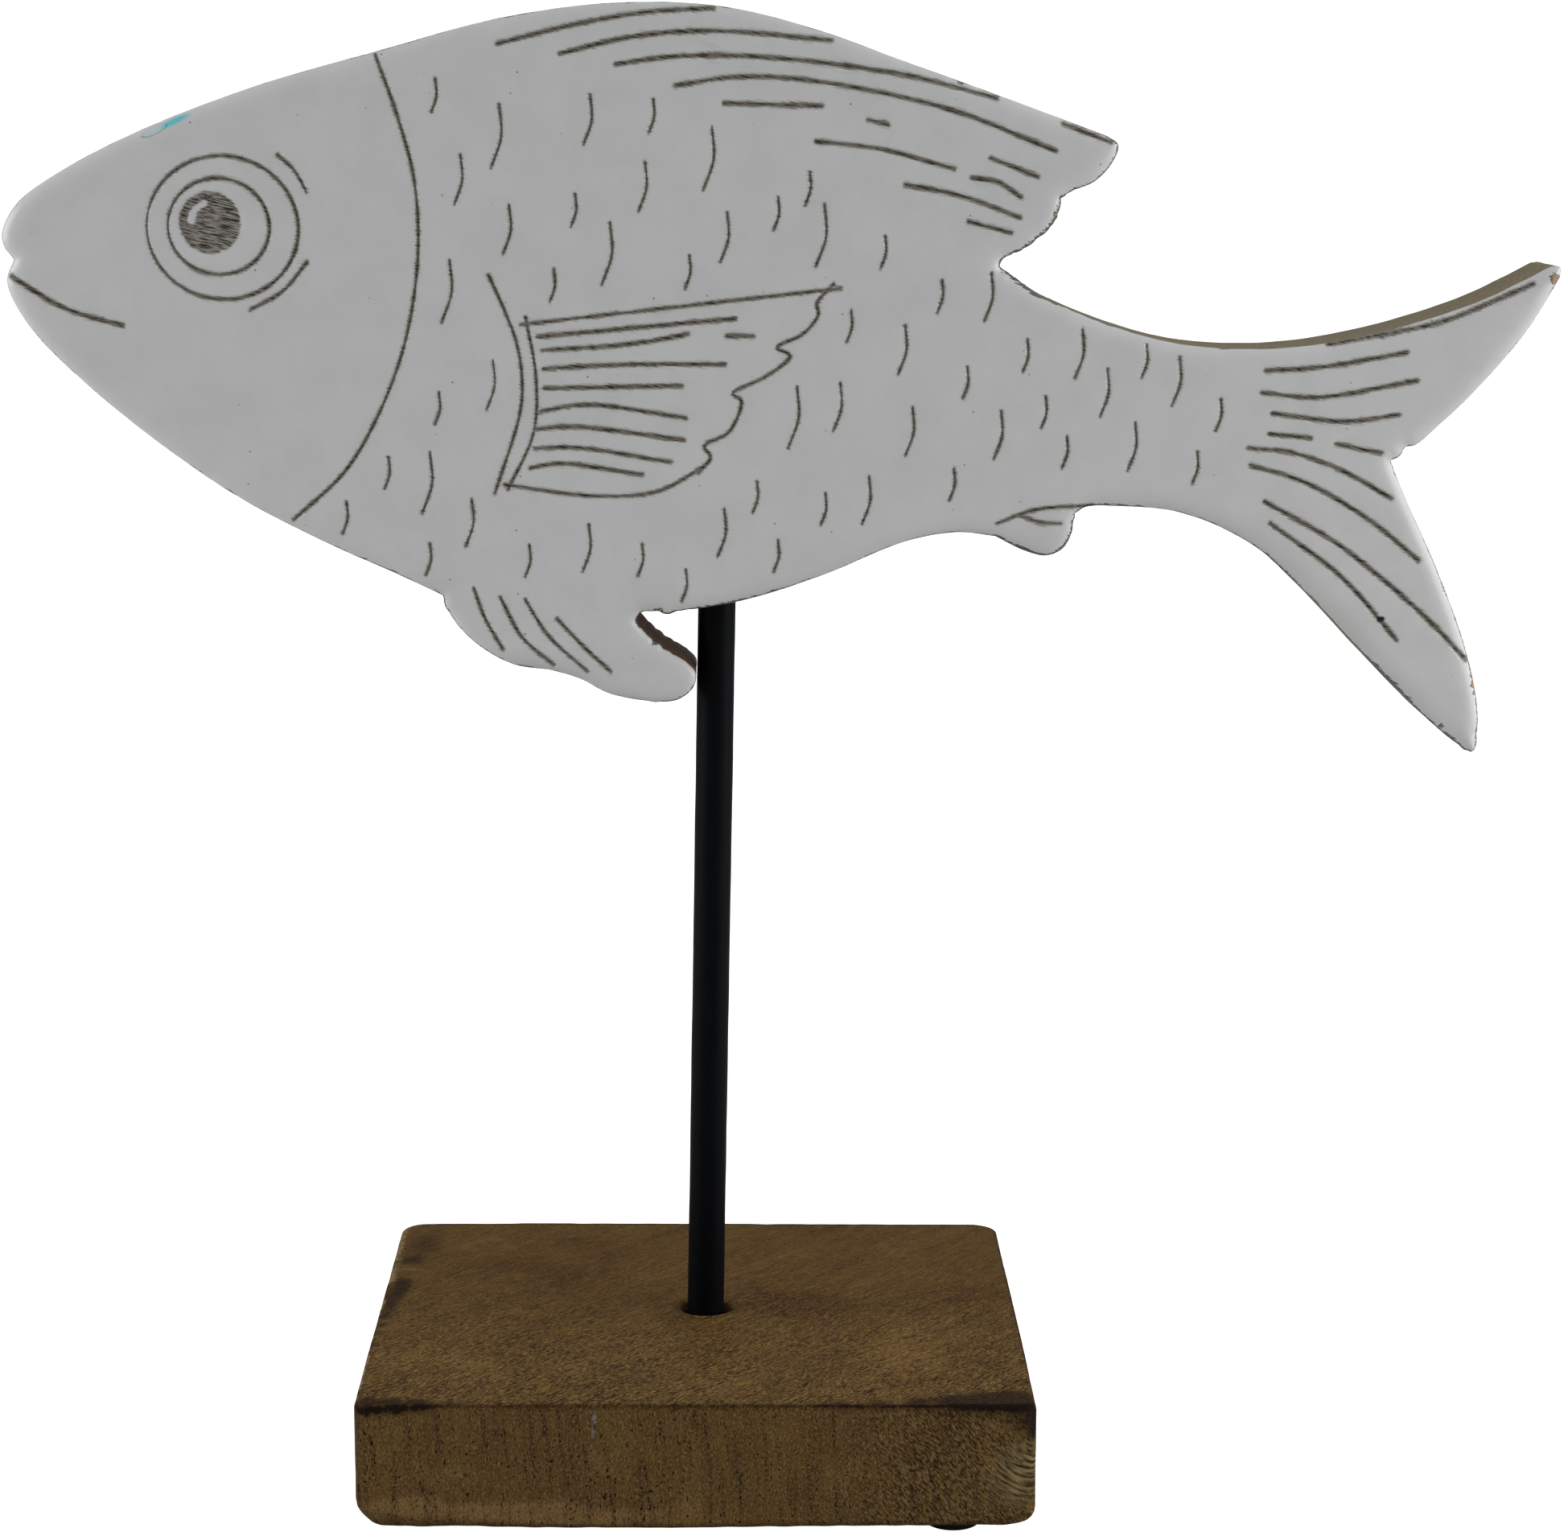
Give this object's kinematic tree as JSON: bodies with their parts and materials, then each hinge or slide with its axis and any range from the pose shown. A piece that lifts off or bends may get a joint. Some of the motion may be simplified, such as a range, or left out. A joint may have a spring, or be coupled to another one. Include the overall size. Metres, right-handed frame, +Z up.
{
  "type": "wooden fish figurine on a rod and block",
  "caption": "Table ornament: a flat, enamelled and engraved wooden fish held up by a black iron rod in a stained wooden block.",
  "frame": {"origin": "on the surface the ornament stands on, under the middle of its overall box, which is the middle of the fish's length", "axes": "+X along the fish from its nose towards its tail, +Z up; the engraved front of the fish faces -Y"},
  "size_m": [0.2389, 0.084, 0.2326],
  "materials": {
    "enamelled_board": "glossy white enamel on both faces, raw sawn edge, drawing burnt in dark brown",
    "black_iron": "satin black powder coat",
    "stained_wood": "brown stain under a thin satin varnish, worn and darkened edges",
    "black_rubber": "matte black"
  },
  "bodies": {
    "root": {"fish": "enamelled_board", "rod": "black_iron", "base": "stained_wood", "foot_front_left": "black_rubber", "foot_front_right": "black_rubber", "foot_back_left": "black_rubber", "foot_back_right": "black_rubber"}
  },
  "joints": []
}
